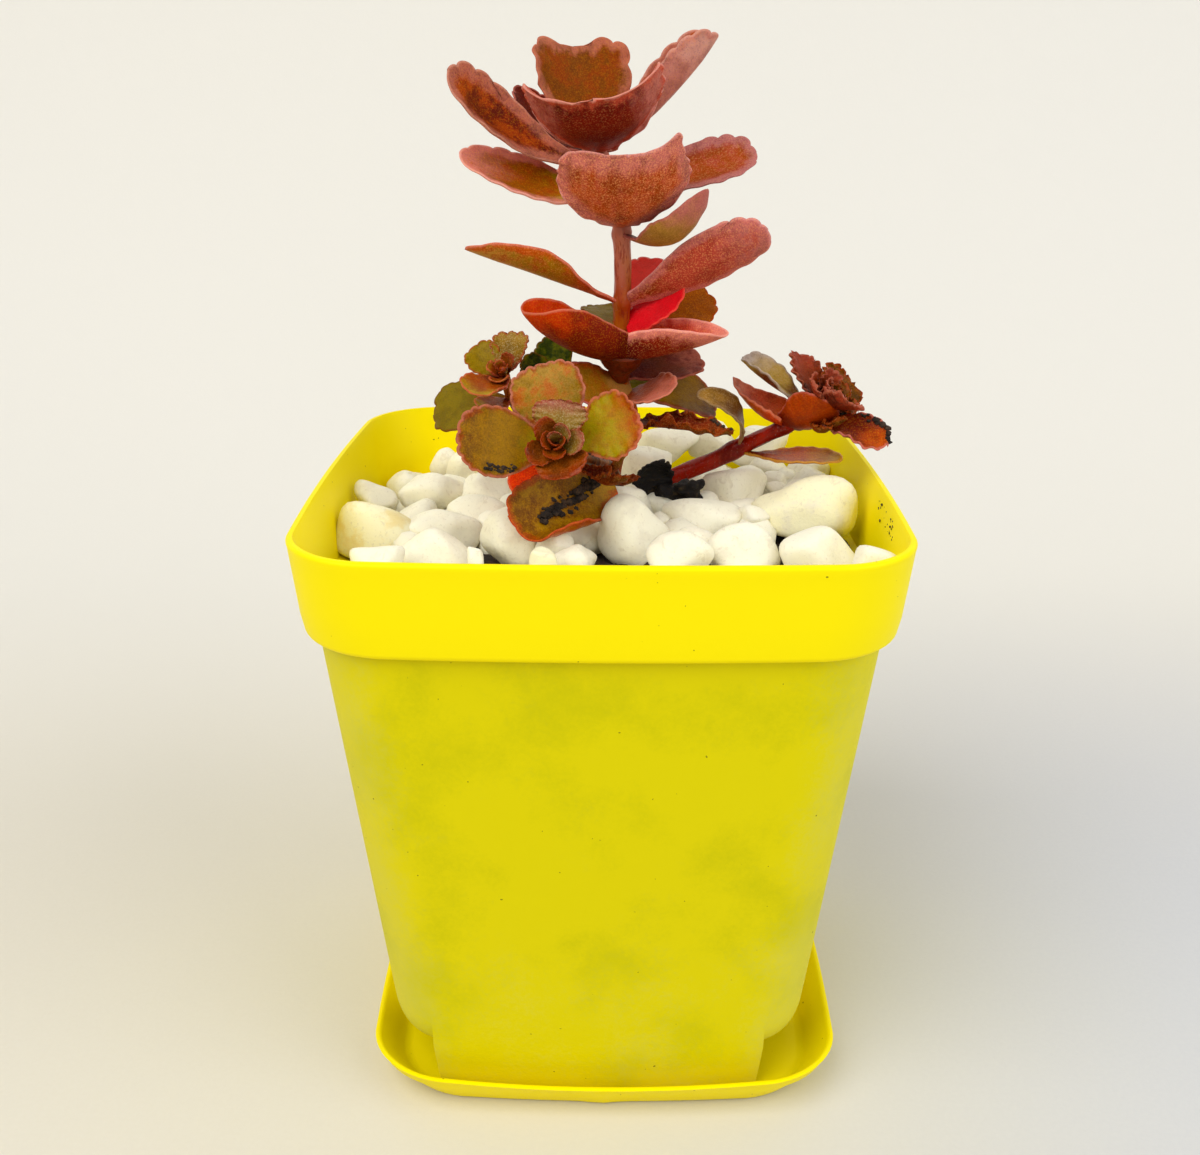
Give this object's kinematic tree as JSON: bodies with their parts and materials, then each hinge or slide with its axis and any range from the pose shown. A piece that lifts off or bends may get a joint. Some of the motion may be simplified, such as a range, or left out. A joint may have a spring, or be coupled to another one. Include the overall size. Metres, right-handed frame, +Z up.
{
  "type": "potted succulent",
  "caption": "Small succulent with scalloped red-brown leaves on branching stems, in a square yellow plastic pot topped with white pebbles, standing on a matching saucer.",
  "frame": {"origin": "on the table, under the middle of the pot", "axes": "+Z up, -Y towards the viewer of the picture, +X to the viewer's right"},
  "size_m": [0.0809, 0.08, 0.1465],
  "materials": {
    "pot_plastic": "satin",
    "soil": "matte",
    "pebble": "satin",
    "bark": "matte",
    "stem": "satin",
    "red_leaf": "satin",
    "pink_leaf": "satin",
    "scarlet_leaf": "satin",
    "brown_leaf": "satin",
    "grey_leaf": "satin",
    "olive_leaf": "satin",
    "green_leaf": "satin"
  },
  "bodies": {
    "root": {"saucer": "pot_plastic", "pot": "pot_plastic", "soil": "soil", "main_stem": "stem", "front_stem": "stem", "left_stem": "stem", "right_stem": "stem", "bark_chip": "bark", "crown_left_leaf": "red_leaf", "crown_back_left_leaf": "brown_leaf", "crown_back_leaf": "brown_leaf", "crown_front_leaf": "pink_leaf", "crown_right_leaf": "red_leaf", "upper_left_leaf": "red_leaf", "upper_front_leaf": "pink_leaf", "upper_right_leaf": "red_leaf", "upper_low_right_leaf": "brown_leaf", "middle_left_leaf": "brown_leaf", "middle_right_leaf": "pink_leaf", "middle_back_leaf": "scarlet_leaf", "middle_red_leaf": "scarlet_leaf", "back_brown_leaf": "brown_leaf", "back_olive_leaf": "olive_leaf", "lower_left_leaf": "red_leaf", "lower_right_leaf": "red_leaf", "lower_grey_leaf": "grey_leaf", "basal_green_leaf": "olive_leaf", "basal_red_leaf": "brown_leaf", "basal_olive_leaf": "olive_leaf", "withered_leaf": "brown_leaf", "front_top_leaf": "olive_leaf", "front_inner_leaf": "olive_leaf", "front_left_leaf": "olive_leaf", "front_right_leaf": "olive_leaf", "front_bottom_leaf": "brown_leaf", "resting_leaf": "olive_leaf", "orange_leaf": "scarlet_leaf", "left_olive_leaf": "olive_leaf", "left_pale_leaf": "grey_leaf", "left_low_leaf": "brown_leaf", "left_green_leaf": "green_leaf", "left_dark_leaf": "green_leaf", "back_green_leaf": "green_leaf", "back_tall_green_leaf": "green_leaf", "arching_leaf": "grey_leaf", "right_low_leaf": "brown_leaf", "fork_left_leaf": "red_leaf", "fork_right_leaf": "red_leaf", "right_grey_leaf": "grey_leaf", "right_back_leaf": "red_leaf", "right_outer_leaf": "brown_leaf", "right_front_leaf": "red_leaf", "right_crusted_leaf": "brown_leaf", "pebble_yellow_stained": "pebble", "pebble_front_left": "pebble", "pebble_middle": "pebble", "pebble_round": "pebble", "pebble_peaked": "pebble", "pebble_front_right": "pebble", "pebble_bed": "pebble"}
  },
  "joints": []
}
